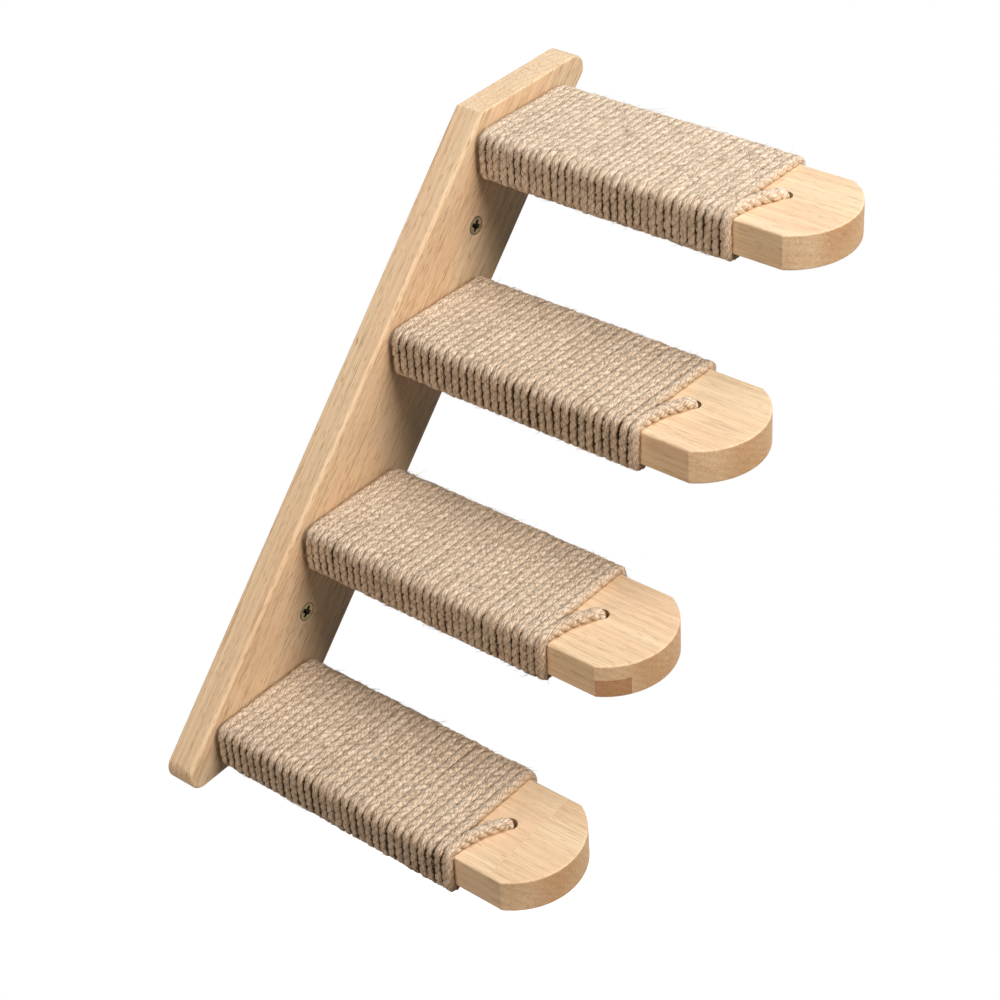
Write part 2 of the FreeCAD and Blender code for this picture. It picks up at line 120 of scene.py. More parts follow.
# Screws: the recess is in shares of the head's width, the turn of its cross in radians
WALL_SCREWS = (("wall_screw_upper", 0.5), ("wall_screw_lower", 0.75))
CROSS_TURN_BY_STEP = 0.3
CROSS_TURN_BY_SIDE = 0.7
WALL_THREAD = 5.0 * MM
STEP_THREAD = 4.0 * MM
THREAD_PITCH = 2.0 * MM
THREAD_STEP = 0.25 * MM
THREAD_ROOT = 0.66
THREAD_SLOPE = 0.3
NECK_SHARE = 0.72
NECK_END = 0.6 * MM
POINT_SHARE = 1.5
POINT_CUT = 0.3 * MM
HEAD_RIM = 0.25 * MM
HEAD_DOME = 0.35 * MM
HEAD_RINGS = 24
HEAD_SHARES = (0.03, 0.95)
RIM_TOP = 0.7
SPOKES = 72
RECESS_LONG = 0.33
RECESS_NARROW = 0.07
RECESS_DEEP = 0.24
ARM_END_SLOPE = 0.45
ARM_HALF = 1.6
ARM_SIDE_SLOPE = 0.6
# Painted shadow round the rim of the head: its strength, where it starts and how far it fades in, in shares
# of the head's width; then the recess depth where the recess's painted shade is full
RIM_SHADE = 0.75
RIM_SHADE_START = 0.84
RIM_SHADE_FADE = 0.08
RECESS_SHADE_DEPTH = 0.6 * MM
SHARP_EDGE = math.radians(35)

# Wood: the roughness is its least value and how much it changes, the relief its strength and distance
PALE = (0.87, 0.705, 0.495, 1)
DEEP = (0.69, 0.485, 0.295, 1)
END_GRAIN = (0.86, 0.76, 0.66, 1)
WOOD_PORE = (0.36, 0.20, 0.09, 1)
WOOD_BLUSH = (1.0, 0.94, 0.93, 1)
HEARTWOOD = (0.62, 0.44, 0.34, 1)
HEART_STRENGTH = 0.85
HEART_STEP = 3
HEART_SIZE = (11.0 * MM, 30.0 * MM, 1.0 * MM)
RING_SPACING = 3.4 * MM
RING_WARP = 9.0 * MM
WOOD_ROUGHNESS = (0.46, 0.16)
WOOD_SPECULAR = 0.22
WOOD_RELIEF = (0.25, 0.2 * MM)
FIBRE_TONE = 0.5
RING_TONE = 0.16
PATCH_TONE = 0.45
VEIN_STRENGTH = 0.9
PORES_BY_RING = 0.04
FIBRE_HEIGHT = 0.4
BOARD_SHIFT = (0.2, 0.037, 0.05)
BOARD_BLOCK = (0.9, 0.032, 0.2)
BOARD_CONTRAST = 0.3
BOARD_PORES = 0.7
PLANK_SHIFT = (0.7, 0.05, 0.04)
PLANK_BLOCK = (0.13, 0.036, 0.02)
PLANK_CONTRAST = 0.26
PLANK_PORES = 0.4

# Wood grain: waves to a metre along the grain and across it
WARP_WAVES = (4.0, 26.0)
FIBRE_WAVES = (18.0, 950.0)
DASH_WAVES = (150.0, 1900.0)
PATCH_WAVES = (8.0, 40.0)
VEIN_WAVES = (8.0, 300.0)
BREAK_WAVES = (45.0, 120.0)
BLUSH_WAVES = (7.0, 34.0)

# Ways along the grain, across the face and through it, in the part's frame
SLOPE = math.sqrt(0.5)
BOARD_WAYS = ((SLOPE, 0, SLOPE), (SLOPE, 0, -SLOPE), (0, 1, 0))
PLANK_WAYS = ((0, 1, 0), (1, 0, 0), (0, 0, 1))

# Jute: the relief is its strength and distance
JUTE_PALE = (0.84, 0.70, 0.555, 1)
JUTE_DEEP = (0.46, 0.33, 0.22, 1)
# Colour of the painted shade between the strands and between the turns
JUTE_SHADE = (0.12, 0.07, 0.035, 1)
FIBRES_ROUND = 28.0
FIBRES_PER_METRE = 2500.0
FIBRE_ENDS_PER_METRE = 400.0
FLECKS_PER_METRE = 1200.0
PATCHES_PER_METRE = 45.0
# Painted shade in the grooves between strands, its raggedness, and how much the fibres break it up in the
# gaps
GROOVE_SHADE = 0.36
GROOVE_RAGGED = 0.25
GAP_SHADE_BREAKUP = 0.5
JUTE_FIBRE_TONE = 1.6
JUTE_FLECK_TONE = 0.3
JUTE_PATCH_TONE = 0.2
JUTE_STEP_TONE = 0.25
JUTE_FLECK_HEIGHT = 0.6
JUTE_RELIEF = (0.7, 0.9 * MM)
JUTE_ROUGHNESS = 0.8
JUTE_SPECULAR = 0.06

# Yellow zinc on the screws, its colours painted far darker than the plating as painted shade and a painted
# dark reflection; stains vary it between bright and dull
ZINC_BRIGHT = (0.30, 0.215, 0.115, 1)
ZINC_DULL = (0.13, 0.092, 0.048, 1)
ZINC_ROUGHNESS = (0.2, 0.2)
STAINS_PER_METRE = 700.0
# Colour of the painted shade in the recesses and of the painted shadow round the rims
SCREW_SHADE = (0.02, 0.016, 0.012, 1)

# Camera and light: each lamp has a name, its place and width in metres, its power in watts and a colour
CAMERA_EYE = (-0.64170, -0.65378, 0.61113)
CAMERA_AZIMUTH = math.radians(-48.2832)
CAMERA_ELEVATION = math.radians(36.4382)
CAMERA_ROLL = math.radians(-4.4124)
CAMERA_LENS = 80.736
CAMERA_SENSOR = 36
LAMP_TARGET = (0.0, -0.1, 0.0)
LAMPS = (
    ("key_lamp", (0.1, -1.75, 0.93), 0.7, 22.8, (1.0, 0.85, 0.71)),
    ("top_lamp", (0.4, -0.55, 1.58), 1.2, 25.3, (0.92, 0.97, 1.0)),
    ("fill_lamp", (-3.3, 0.2, 1.2), 2.0, 57.0, (1.0, 0.86, 0.73)),
    ("back_lamp", (0.9, 1.8, 0.0), 1.4, 20.0, (1.0, 1.0, 1.0)),
)
ROOM_LIGHT = (1.0, 0.93, 0.84, 1)
ROOM_STRENGTH = 0.01
WHITE = (1, 1, 1, 1)
FLOOR_COLOUR = (0.5, 0.48, 0.45, 1)
FLOOR_ROUGHNESS = 0.9
FLOOR_GLOW = 0.9
FLOOR_HALF = 0.8
FLOOR_BELOW = 1.1


# Camera at the photograph's viewing angle
def make_camera():
    back = Vector((
        math.sin(CAMERA_AZIMUTH) * math.cos(CAMERA_ELEVATION),
        -math.cos(CAMERA_AZIMUTH) * math.cos(CAMERA_ELEVATION),
        math.sin(CAMERA_ELEVATION),
    ))
    level = Vector((math.cos(CAMERA_AZIMUTH), math.sin(CAMERA_AZIMUTH), 0))
    upright = back.cross(level)
    right = level * math.cos(CAMERA_ROLL) + upright * math.sin(CAMERA_ROLL)
    up = upright * math.cos(CAMERA_ROLL) - level * math.sin(CAMERA_ROLL)
    data = bpy.data.cameras.new("camera")
    data.sensor_width = CAMERA_SENSOR
    data.lens = CAMERA_LENS
    data.clip_start = 0.01
    data.clip_end = 50
    camera = bpy.data.objects.new("camera", data)
    pose = Matrix((right, up, back)).transposed().to_4x4()
    pose.translation = CAMERA_EYE
    camera.matrix_world = pose
    bpy.context.scene.collection.objects.link(camera)
    bpy.context.scene.camera = camera


# Shader nodes
def add_node(tree, kind, inputs=None, **settings):
    """A node with its settings; each input is a plain value or the socket that feeds it."""
    made = tree.nodes.new(kind)
    for name, value in settings.items():
        setattr(made, name, value)
    for key, value in (inputs or {}).items():
        if isinstance(value, bpy.types.NodeSocket):
            tree.links.new(value, made.inputs[key])
        else:
            made.inputs[key].default_value = value
    return made


def math_node(tree, operation, *values, clamp=False):
    inputs = dict(enumerate(values))
    return add_node(tree, "ShaderNodeMath", inputs, operation=operation, use_clamp=clamp).outputs[0]


def vector_node(tree, operation, *values):
    inputs = dict(enumerate(values))
    made = add_node(tree, "ShaderNodeVectorMath", inputs, operation=operation)
    return made.outputs["Value" if operation in ("DOT_PRODUCT", "LENGTH") else "Vector"]


def noise_node(tree, place, scale, detail=2.0, roughness=0.5):
    inputs = {"Vector": place, "Scale": scale, "Detail": detail, "Roughness": roughness}
    return add_node(tree, "ShaderNodeTexNoise", inputs).outputs["Fac"]


def stretched_noise(tree, place, along, across, detail=2.0, roughness=0.5):
    """Noise drawn out along the grain, with so many waves to a metre along it and across it."""
    scaled = vector_node(tree, "MULTIPLY", place, (along, across, across))
    return noise_node(tree, scaled, 1.0, detail, roughness)


def spread(tree, value, low, high):
    """Stretches a value so that low becomes 0 and high becomes 1."""
    inputs = {"Value": value, "From Min": low, "From Max": high}
    return add_node(tree, "ShaderNodeMapRange", inputs, interpolation_type="SMOOTHSTEP").outputs["Result"]


def add_share(tree, total, value, share):
    """Adds a share of a value to a total."""
    return math_node(tree, "ADD", total, math_node(tree, "MULTIPLY", value, share))


def mix_colour(tree, share, first, second, blend="MIX"):
    made = add_node(tree, "ShaderNodeMix", data_type="RGBA", blend_type=blend)
    for key, value in ((0, share), (6, first), (7, second)):
        if isinstance(value, bpy.types.NodeSocket):
            tree.links.new(value, made.inputs[key])
        else:
            made.inputs[key].default_value = value
    return made.outputs[2]


def new_group(name, inputs, outputs):
    """An empty shader node group with named sockets, and its two end nodes."""
    tree = bpy.data.node_groups.new(name, "ShaderNodeTree")
    for socket, kind, value in inputs:
        made = tree.interface.new_socket(name=socket, in_out="INPUT", socket_type="NodeSocket" + kind)
        made.default_value = value
    for socket, kind in outputs:
        tree.interface.new_socket(name=socket, in_out="OUTPUT", socket_type="NodeSocket" + kind)
    start = tree.nodes.new("NodeGroupInput").outputs
    end = tree.nodes.new("NodeGroupOutput").inputs
    return tree, start, end


def new_material(name):
    material = bpy.data.materials.new(name)
    material.use_nodes = True
    tree = material.node_tree
    return material, tree, tree.nodes["Principled BSDF"]


# Wood grain: X of its coordinates runs along the grain, Y across the board's face and Z through it
def make_grain_group():
    tree, given, put = new_group("wood_grain", (
        ("Place", "Vector", (0, 0, 0)),
        ("Pale", "Color", PALE),
        ("Deep", "Color", DEEP),
        ("Block Size", "Vector", BOARD_BLOCK),
        ("Block Contrast", "Float", BOARD_CONTRAST),
        ("Pores", "Float", BOARD_PORES),
    ), (("Colour", "Color"), ("Roughness", "Float"), ("Height", "Float")))

    # Glued blocks, each with its own shade and its own stretch of grain
    cell = vector_node(tree, "FLOOR", vector_node(tree, "DIVIDE", given["Place"], given["Block Size"]))
    shade = add_node(tree, "ShaderNodeTexWhiteNoise", {"Vector": cell}, noise_dimensions="3D").outputs
    shifted = vector_node(tree, "ADD", given["Place"], shade["Color"])

    # Growth rings round the middle of each block's tree, which show as streaks on the faces
    pith = vector_node(tree, "SUBTRACT", shade["Color"], (0.5, 0.5, -0.4))
    pith = vector_node(tree, "MULTIPLY", pith, (0.0, 0.05, 0.05))
    spot = vector_node(tree, "MULTIPLY", vector_node(tree, "ADD", given["Place"], pith), (0.02, 1.0, 1.0))
    warp = stretched_noise(tree, shifted, *WARP_WAVES)
    reach = add_share(tree, vector_node(tree, "LENGTH", spot), warp, RING_WARP)
    rings = math_node(tree, "SINE", math_node(tree, "MULTIPLY", reach, 2 * math.pi / RING_SPACING))
    rings = spread(tree, rings, -1.0, 1.0)

    # Fine fibres, soft patches and pores
    fibres = stretched_noise(tree, shifted, *FIBRE_WAVES, 3.0, 0.65)
    dashes = stretched_noise(tree, shifted, *DASH_WAVES, 1.0)
    patches = stretched_noise(tree, shifted, *PATCH_WAVES)
    pores = spread(tree, add_share(tree, dashes, rings, PORES_BY_RING), 0.6, 0.74)

    # Thin broken veins, where a slow noise crosses its middle
    veins = stretched_noise(tree, shifted, *VEIN_WAVES)
    veins = math_node(tree, "ABSOLUTE", math_node(tree, "SUBTRACT", veins, 0.5))
    breaks = stretched_noise(tree, shifted, *BREAK_WAVES, 1.0)
    veins = math_node(tree, "MULTIPLY", spread(tree, veins, 0.035, 0.0), spread(tree, breaks, 0.42, 0.68))
    pores = math_node(tree, "MAXIMUM", pores, math_node(tree, "MULTIPLY", veins, VEIN_STRENGTH))
    pores = math_node(tree, "MULTIPLY", pores, given["Pores"])

    tone = math_node(tree, "MULTIPLY", spread(tree, fibres, 0.3, 0.7), FIBRE_TONE)
    tone = add_share(tree, tone, rings, RING_TONE)
    tone = add_share(tree, tone, patches, PATCH_TONE)
    block = math_node(tree, "SUBTRACT", shade["Value"], 0.5)
    block = math_node(tree, "MULTIPLY", block, given["Block Contrast"])
    tone = math_node(tree, "ADD", tone, block, clamp=True)
    colour = mix_colour(tree, tone, given["Pale"], given["Deep"])
    blush = spread(tree, stretched_noise(tree, shifted, *BLUSH_WAVES), 0.4, 0.7)
    colour = mix_colour(tree, blush, colour, mix_colour(tree, 1.0, colour, WOOD_BLUSH, "MULTIPLY"))
    colour = mix_colour(tree, pores, colour, WOOD_PORE)
    tree.links.new(colour, put["Colour"])

    rough = add_share(tree, WOOD_ROUGHNESS[0], fibres, WOOD_ROUGHNESS[1])
    tree.links.new(rough, put["Roughness"])
    height = math_node(tree, "SUBTRACT", math_node(tree, "MULTIPLY", fibres, FIBRE_HEIGHT), pores)
    tree.links.new(height, put["Height"])
    return tree


def inside_box(tree, place, low, high):
    """1 at places inside a box of the part's frame, else 0."""
    over = add_node(tree, "ShaderNodeSeparateXYZ", {0: vector_node(tree, "SUBTRACT", place, low)}).outputs
    under = add_node(tree, "ShaderNodeSeparateXYZ", {0: vector_node(tree, "SUBTRACT", high, place)}).outputs
    least = math_node(tree, "MINIMUM", math_node(tree, "MINIMUM", over[0], over[1]), over[2])
    for side in under:
        least = math_node(tree, "MINIMUM", least, side)
    return math_node(tree, "GREATER_THAN", least, 0.0)


def make_wood(name, grain, ways, shift, block_size, contrast, pores, heart=None):
    """Wood with its grain along the first of three ways of the part's frame, and a dark heart in a box."""
    material, tree, shader = new_material(name)
    place = add_node(tree, "ShaderNodeTexCoord").outputs["Object"]
    turned = [vector_node(tree, "DOT_PRODUCT", place, way) for way in ways]
    turned = add_node(tree, "ShaderNodeCombineXYZ", dict(enumerate(turned))).outputs[0]
    made = add_node(tree, "ShaderNodeGroup", node_tree=grain)
    tree.links.new(vector_node(tree, "ADD", turned, shift), made.inputs["Place"])
    made.inputs["Pale"].default_value = PALE
    made.inputs["Deep"].default_value = DEEP
    made.inputs["Block Size"].default_value = block_size
    made.inputs["Block Contrast"].default_value = contrast
    made.inputs["Pores"].default_value = pores
    colour = made.outputs["Colour"]

    # End grain, where the surface faces along the grain
    normal = add_node(tree, "ShaderNodeTexCoord").outputs["Normal"]
    facing = vector_node(tree, "DOT_PRODUCT", normal, ways[0])
    cut = spread(tree, math_node(tree, "ABSOLUTE", facing), 0.75, 0.95)
    colour = mix_colour(tree, cut, colour, mix_colour(tree, 1.0, colour, END_GRAIN, "MULTIPLY"))
    if heart:
        dark = math_node(tree, "MULTIPLY", inside_box(tree, place, *heart), HEART_STRENGTH)
        colour = mix_colour(tree, dark, colour, mix_colour(tree, 1.0, colour, HEARTWOOD, "MULTIPLY"))
    tree.links.new(colour, shader.inputs["Base Color"])
    tree.links.new(made.outputs["Roughness"], shader.inputs["Roughness"])
    strength, distance = WOOD_RELIEF
    relief = {"Strength": strength, "Distance": distance, "Height": made.outputs["Height"]}
    bump = add_node(tree, "ShaderNodeBump", relief)
    tree.links.new(bump.outputs["Normal"], shader.inputs["Normal"])
    shader.inputs["Specular IOR Level"].default_value = WOOD_SPECULAR
    return material


# Jute: U of rope_lay runs along the rope in metres, V once round it with the strands;
# U of rope_stand is 1 on the outside of the winding and falls towards the plank, and sets the painted shade
# in the gaps; V is a drifting tone
def make_jute():
    material, tree, shader = new_material("jute_rope")
    lay = add_node(tree, "ShaderNodeUVMap", uv_map="rope_lay").outputs["UV"]
    stand = add_node(tree, "ShaderNodeUVMap", uv_map="rope_stand").outputs["UV"]
    place = add_node(tree, "ShaderNodeTexCoord").outputs["Object"]
    parts = add_node(tree, "ShaderNodeSeparateXYZ", {0: lay}).outputs
    depth = add_node(tree, "ShaderNodeSeparateXYZ", {0: stand}).outputs

    # Fibres are twisted against the lay of the strands; flecks and patches break them up
    slant = math_node(tree, "MULTIPLY", parts["Y"], FIBRES_ROUND)
    slant = add_share(tree, slant, parts["X"], FIBRES_PER_METRE)
    along = math_node(tree, "MULTIPLY", parts["X"], FIBRE_ENDS_PER_METRE)
    strand = add_node(tree, "ShaderNodeCombineXYZ", {0: along, 1: slant}).outputs[0]
    fibres = noise_node(tree, strand, 1.0, 2.0, 0.55)
    flecks = noise_node(tree, place, FLECKS_PER_METRE, 2.0, 0.6)
    patches = noise_node(tree, place, PATCHES_PER_METRE)
    tone = math_node(tree, "MULTIPLY", spread(tree, fibres, 0.34, 0.66), JUTE_FIBRE_TONE)
    tone = add_share(tree, tone, flecks, JUTE_FLECK_TONE)
    tone = add_share(tree, tone, patches, JUTE_PATCH_TONE)
    tone = add_share(tree, tone, depth["Y"], JUTE_STEP_TONE)
    tone = spread(tree, tone, 0.66, 1.9)
    colour = mix_colour(tree, tone, JUTE_PALE, JUTE_DEEP)

    # Painted shade between the strands, and between one turn and the next
    inside = math_node(tree, "FRACT", math_node(tree, "MULTIPLY", parts["Y"], float(STRANDS)))
    edge = math_node(tree, "ABSOLUTE", math_node(tree, "SUBTRACT", inside, 0.5))
    ragged = math_node(tree, "MULTIPLY", math_node(tree, "SUBTRACT", flecks, 0.5), GROOVE_RAGGED)
    groove = spread(tree, math_node(tree, "ADD", edge, ragged), 0.34, 0.54)
    gap_shade_breakup = math_node(tree, "MULTIPLY", math_node(tree, "SUBTRACT", fibres, 0.5), GAP_SHADE_BREAKUP)
    painted_gap_shade = math_node(tree, "ADD", math_node(tree, "SUBTRACT", depth["X"], ragged), gap_shade_breakup)
    painted_gap_shade = spread(tree, painted_gap_shade, 0.86, 0.52)
    dark = math_node(tree, "MAXIMUM", math_node(tree, "MULTIPLY", groove, GROOVE_SHADE), painted_gap_shade)
    colour = mix_colour(tree, dark, colour, JUTE_SHADE)
    tree.links.new(colour, shader.inputs["Base Color"])

    height = add_share(tree, fibres, flecks, JUTE_FLECK_HEIGHT)
    strength, distance = JUTE_RELIEF
    bump = add_node(tree, "ShaderNodeBump", {"Strength": strength, "Distance": distance, "Height": height})
    tree.links.new(bump.outputs["Normal"], shader.inputs["Normal"])
    shader.inputs["Roughness"].default_value = JUTE_ROUGHNESS
    shader.inputs["Specular IOR Level"].default_value = JUTE_SPECULAR
    return material


def make_zinc():
    material, tree, shader = new_material("yellow_zinc")
    place = add_node(tree, "ShaderNodeTexCoord").outputs["Object"]
    stain = noise_node(tree, place, STAINS_PER_METRE, 3.0, 0.6)
    colour = mix_colour(tree, stain, ZINC_BRIGHT, ZINC_DULL)
    # Painted shade in the cross recess and painted shadow round the rim, from the map each screw carries
    depth = add_node(tree, "ShaderNodeUVMap", uv_map="recess_depth").outputs["UV"]
    depth = add_node(tree, "ShaderNodeSeparateXYZ", {0: depth}).outputs
    colour = mix_colour(tree, depth["X"], colour, SCREW_SHADE)
    tree.links.new(colour, shader.inputs["Base Color"])
    rough = add_share(tree, ZINC_ROUGHNESS[0], stain, ZINC_ROUGHNESS[1])
    tree.links.new(rough, shader.inputs["Roughness"])
    shader.inputs["Metallic"].default_value = 1.0
    return material


# Rope: a three-strand rope laid along a spline that winds round a plank
def read_spline(points):
    """Points along the smooth NURBS line that has these controls."""
    curve = bpy.data.curves.new("rope_line", "CURVE")
    curve.dimensions = "3D"
    curve.resolution_u = 8
    spline = curve.splines.new("NURBS")
    spline.points.add(len(points) - 1)
    for point, place in zip(spline.points, points):
        point.co = (*place, 1)
    spline.order_u = 3
    spline.use_endpoint_u = True
    line = bpy.data.objects.new("rope_line", curve)
    mesh = bpy.data.meshes.new_from_object(line)
    read = np.array([vertex.co for vertex in mesh.vertices])
    bpy.data.objects.remove(line)
    bpy.data.curves.remove(curve)
    bpy.data.meshes.remove(mesh)
    return read


def rope_controls(step, turns, chance):
    """Controls of the winding, from the cut end under the plank to the end in the hole."""
    low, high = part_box("step_plank_%d" % step)
    middle_x, middle_z = (low.x + high.x) / 2, (low.z + high.z) / 2
    root = high.y
    half_x = (high.x - low.x) / 2 + ROPE_STAND
    half_z = (high.z - low.z) / 2 + ROPE_STAND
    first = -ROPE_RADIUS - ROPE_FROM_BOARD
    last = -WRAP_LENGTH + ROPE_RADIUS
    corners = ((-half_x, -half_z), (-half_x, half_z), (half_x, half_z), (half_x, -half_z))
    ways = ((-1, 0), (0, 1), (1, 0), (0, -1))
    loop = 4 * (half_x + half_z)
    sides = (2 * half_z, 2 * half_x)
    whole = ROPE_START_X + half_x + (turns - 1) * loop + sides[0]
    climb = (last - first) / whole

    points = [(ROPE_START_X, first, -half_z)]
    travelled = ROPE_START_X + half_x
    for number in range(4 * (turns - 1) + 2):
        x, z = corners[number % 4]
        into, out = ways[number % 4], ways[(number + 1) % 4]
        wander = chance.normal(0, TURN_WANDER)
        lift = chance.normal(0, TURN_LIFT)
        y = first + climb * travelled + wander
        for way, reach in ((into, -CORNER_REACH), (into, 0), (out, CORNER_REACH)):
            points.append((
                (x + way[0] * reach) * (1 + lift / half_x),
                y + climb * reach,
                (z + way[1] * reach) * (1 + lift / half_z),
            ))
        travelled += sides[number % 2]

    # The end leaves the winding over the bare top and bends down into its hole
    hole_y = -WRAP_LENGTH - HOLE_FROM_WINDING
    points[-1] = (-half_x + CORNER_REACH, last - TAIL_START, half_z)
    points += [(HOLE_X + x * MM, hole_y + y * MM, half_z + z * MM) for x, y, z in TAIL_ROUTE]
    offset = np.array((middle_x, root, middle_z))
    return np.array(points) + offset


def even_points(line, step):
    """Points at even distances along a line."""
    lengths = np.linalg.norm(np.diff(line, axis=0), axis=1)
    along = np.concatenate(([0.0], np.cumsum(lengths)))
    count = int(along[-1] / step) + 1
    places = np.linspace(0, along[-1], count)
    return np.stack([np.interp(places, along, line[:, axis]) for axis in range(3)], 1), places


def cross_ways(line):
    """Two cross directions at each point of a line: out of the winding, and beside the rope."""
    ways = np.gradient(line, axis=0)
    ways /= np.linalg.norm(ways, axis=1)[:, None]
    outward = np.cross(ways, (0.0, 1.0, 0.0))
    outward /= np.linalg.norm(outward, axis=1)[:, None]
    return outward, np.cross(ways, outward)


def smooth_chance(chance, places, span, size):
    """A value that drifts along a length, anew over each span."""
    knots = np.arange(0, places[-1] + 2 * span, span)
    return np.interp(places, knots, chance.normal(0, size, len(knots)))


def strand_section():
    """Angles of one turn round the rope, and how far each lies in the groove between two strands."""
    count = STRANDS * POINTS_PER_STRAND
    turn = np.arange(count) / count * 2 * math.pi
    inside = (np.arange(count) % POINTS_PER_STRAND) / POINTS_PER_STRAND
    swell = np.sin(math.pi * inside) ** STRAND_ROUNDNESS
    return turn, 1 - swell


def add_tube(store, rings, lengths, shares, shade_heights, tones):
    """Adds a closed tube through rings of points to a store of points, faces and map places."""
    base = len(store["points"])
    count = rings.shape[1]
    store["points"].extend(rings.reshape(-1, 3).tolist())
    tones = np.repeat(tones[:, None], count, axis=1)
    store["stand"].extend(np.stack((shade_heights, tones), 2).reshape(-1, 2).tolist())
    for ring in range(len(rings) - 1):
        for spoke in range(count):
            beside = (spoke + 1) % count
            here, there = base + ring * count, base + (ring + 1) * count
            store["faces"].append((here + spoke, here + beside, there + beside, there + spoke))
            left, right = shares[spoke], shares[spoke] + 1 / count
            store["map"].extend((
                (lengths[ring], left), (lengths[ring], right),
                (lengths[ring + 1], right), (lengths[ring + 1], left),
            ))
    for ring, order in ((0, -1), (len(rings) - 1, 1)):
        store["faces"].append(tuple(base + ring * count + spoke for spoke in range(count))[::order])
        store["map"].extend([(lengths[ring], 0.0)] * count)


def add_fuzz(store, centres, places, outs, besides, chance):
    """Adds stray fibres that lie over the turns and stand off a little."""
    shares = np.linspace(0, 1, len(FUZZ_TAPER))
    sides = np.arange(FUZZ_SIDES) / FUZZ_SIDES
    turns = sides * 2 * math.pi
    thick = FUZZ_THICKNESS * np.array(FUZZ_TAPER)
    for root in chance.integers(FUZZ_FROM_ENDS, len(centres) - FUZZ_FROM_ENDS, FUZZ_PER_STEP):
        way = centres[root + 1] - centres[root]
        way = way / np.linalg.norm(way)
        slant = chance.uniform(-FUZZ_SLANT, FUZZ_SLANT)
        length = chance.uniform(*FUZZ_LENGTHS) * MM
        rise = chance.uniform(0.0, FUZZ_RISE)
        arch = chance.uniform(0.0, FUZZ_ARCH) * MM
        curl = chance.normal(0, FUZZ_CURL)
        ahead = math.cos(slant) * way + math.sin(slant) * besides[root]
        beside = math.cos(slant) * besides[root] - math.sin(slant) * way
        reach = (length * shares)[:, None]
        lift = ROPE_RADIUS * FUZZ_SEAT + length * shares * rise + arch * np.sin(math.pi * shares)
        line = centres[root] + outs[root] * lift[:, None] + ahead * reach
        line += beside * curl * reach * shares[:, None]
        across, up = cross_ways(line)
        rings = line[:, None, :] + thick[:, None, None] * (
            np.cos(turns)[None, :, None] * across[:, None, :]
            + np.sin(turns)[None, :, None] * up[:, None, :]
        )
        shade_heights = np.ones(rings.shape[:2])
        tones = np.full(len(shares), chance.uniform(0.0, FUZZ_TONE))
        add_tube(store, rings, places[root] + length * shares, sides + FUZZ_MAP_SHIFT, shade_heights, tones)


def make_rope(step, turns, jute):
    chance = np.random.default_rng(ROPE_SEED + step)
    line = read_spline(rope_controls(step, turns, chance))
    centres, places = even_points(line, ROPE_RING_STEP)
    outs, besides = cross_ways(centres)
    turn, dip = strand_section()
    twist = 2 * math.pi * places / ROPE_LAY + smooth_chance(chance, places, *TWIST_DRIFT)
    thickness = ROPE_RADIUS * (1 + smooth_chance(chance, places, *THICKNESS_DRIFT))
    angles = turn[None, :] + twist[:, None]
    swells = [1 + smooth_chance(chance, places, *STRAND_DRIFT) for _ in range(STRANDS)]

    # The turns press each other nearly square, and the free end is round and looser
    free = np.clip((places - places[-1] + TAIL_LENGTH) / (TAIL_LENGTH / 3), 0, 1)[:, None]
    groove = STRAND_GROOVE * (1 - free) + TAIL_GROOVE * free
    swells = np.repeat(np.stack(swells, 1), POINTS_PER_STRAND, axis=1)
    radii = thickness[:, None] * (1 - groove * dip) * swells
    flat = np.abs(outs[:, 2])[:, None]
    power = SQUARE_ON_SIDES + (SQUARE_ON_FACES - SQUARE_ON_SIDES) * flat
    square = np.abs(np.cos(angles)) ** power + np.abs(np.sin(angles)) ** power
    radii *= square ** (-1 / power) * (1 - free) + (1 + TAIL_SWELL) * free
    rings = centres[:, None, :] + radii[:, :, None] * (
        np.cos(angles)[:, :, None] * outs[:, None, :]
        + np.sin(angles)[:, :, None] * besides[:, None, :]
    )

    # Painted shade in the gaps between turns, strong on the narrow sides of the plank and weak on its
    # faces; the exposed side of the last turn is lifted out of it, and the free end mostly
    shade_heights = 0.5 + 0.5 * radii * np.cos(angles) / ROPE_RADIUS
    gap_shade = GAP_SHADE_ON_SIDES + (GAP_SHADE_ON_FACES - GAP_SHADE_ON_SIDES) * flat
    shade_heights = 1 - (1 - shade_heights) * gap_shade
    last_turn = np.clip((places - places[-1] + TAIL_LENGTH + LAST_TURN) / TAIL_LENGTH, 0, 1)[:, None]
    open_side = np.clip(np.sin(angles) * 2, 0, 1) * last_turn
    shade_heights += (1 - shade_heights) * np.maximum(open_side, free * TAIL_SHADE_CUT)
    tones = ROPE_TONES[step - 1] + smooth_chance(chance, places, *TONE_DRIFT)
    store = {"points": [], "faces": [], "map": [], "stand": []}
    add_tube(store, rings, places, np.arange(len(turn)) / len(turn), shade_heights, tones)
    add_fuzz(store, centres, places, outs, besides, chance)
    mesh = bpy.data.meshes.new("wound_rope_%d" % step)
    mesh.from_pydata(store["points"], [], store["faces"])
    mesh.uv_layers.new(name="rope_lay")
    mesh.uv_layers["rope_lay"].data.foreach_set("uv", np.array(store["map"]).ravel())
    corners = np.zeros(len(mesh.loops), dtype=np.int32)
    mesh.loops.foreach_get("vertex_index", corners)
    mesh.uv_layers.new(name="rope_stand")
    mesh.uv_layers["rope_stand"].data.foreach_set("uv", np.array(store["stand"])[corners].ravel())
    mesh.shade_smooth()
    mesh.materials.append(jute)
    rope = bpy.data.objects.new("wound_rope_%d" % step, mesh)
    bpy.context.scene.collection.objects.link(rope)
    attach(rope, "root")
    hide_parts("step_rope_%d" % step)


